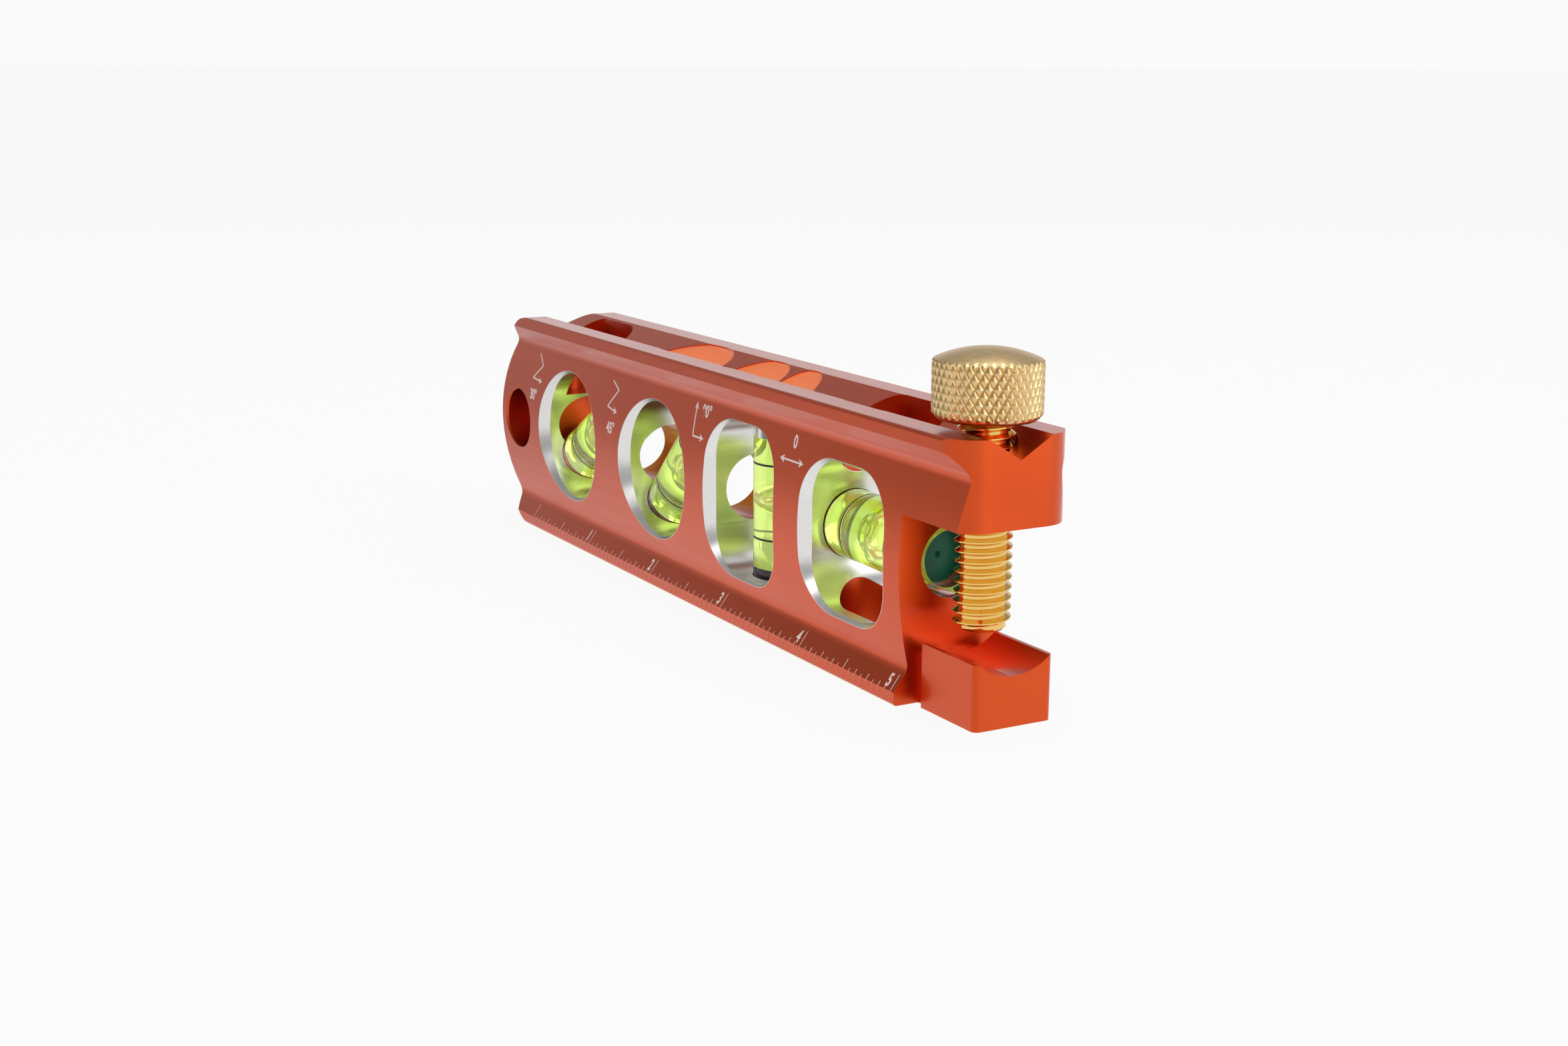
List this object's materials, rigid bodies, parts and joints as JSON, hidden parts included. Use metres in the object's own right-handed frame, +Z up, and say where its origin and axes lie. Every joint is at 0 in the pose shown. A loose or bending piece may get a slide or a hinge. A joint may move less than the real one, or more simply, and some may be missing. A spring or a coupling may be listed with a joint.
{
  "type": "magnetic pocket level with clamp screw",
  "caption": "Slim machined aluminium pocket level with bubble vials in open windows, a V-grooved top, a magnetic base and a thumbscrew clamp at the nose.",
  "frame": {"origin": "middle of the bottom face, half way between the tail and the nose", "axes": "+X along the level towards the nose with the clamp, +Y across it, +Z up from the magnetic base to the V groove"},
  "size_m": [0.1588, 0.019, 0.0508],
  "materials": {
    "anodised_body": "satin red-orange anodised",
    "clear_acrylic": "clear polished acrylic",
    "vial_fluid": "clear fluorescent yellow-green liquid",
    "vial_plug": "dark green",
    "black_ring": "black paint line",
    "magnet_plating": "nickel plated",
    "brass": "turned and knurled"
  },
  "bodies": {
    "frame": {"level_body": "anodised_body", "level_vial_barrel": "clear_acrylic", "level_vial_fluid": "vial_fluid", "level_vial_plug": "vial_plug", "level_vial_rings": "black_ring", "plumb_vial_barrel": "clear_acrylic", "plumb_vial_fluid": "vial_fluid", "plumb_vial_plug": "vial_plug", "plumb_vial_rings": "black_ring", "bend45_vial_barrel": "clear_acrylic", "bend45_vial_fluid": "vial_fluid", "bend45_vial_plug": "vial_plug", "bend45_vial_rings": "black_ring", "bend30_vial_barrel": "clear_acrylic", "bend30_vial_fluid": "vial_fluid", "bend30_vial_plug": "vial_plug", "bend30_vial_rings": "black_ring", "magnet_1": "magnet_plating", "magnet_2": "magnet_plating", "magnet_3": "magnet_plating", "magnet_4": "magnet_plating"},
    "thumbscrew": {"clamp_screw": "brass", "knob": "brass"}
  },
  "joints": [
    {"name": "thumbscrew_travel", "type": "slide", "parent": "frame", "child": "thumbscrew", "axis": [0, 0, 1], "range_m": [-0.001, 0.015]}
  ]
}
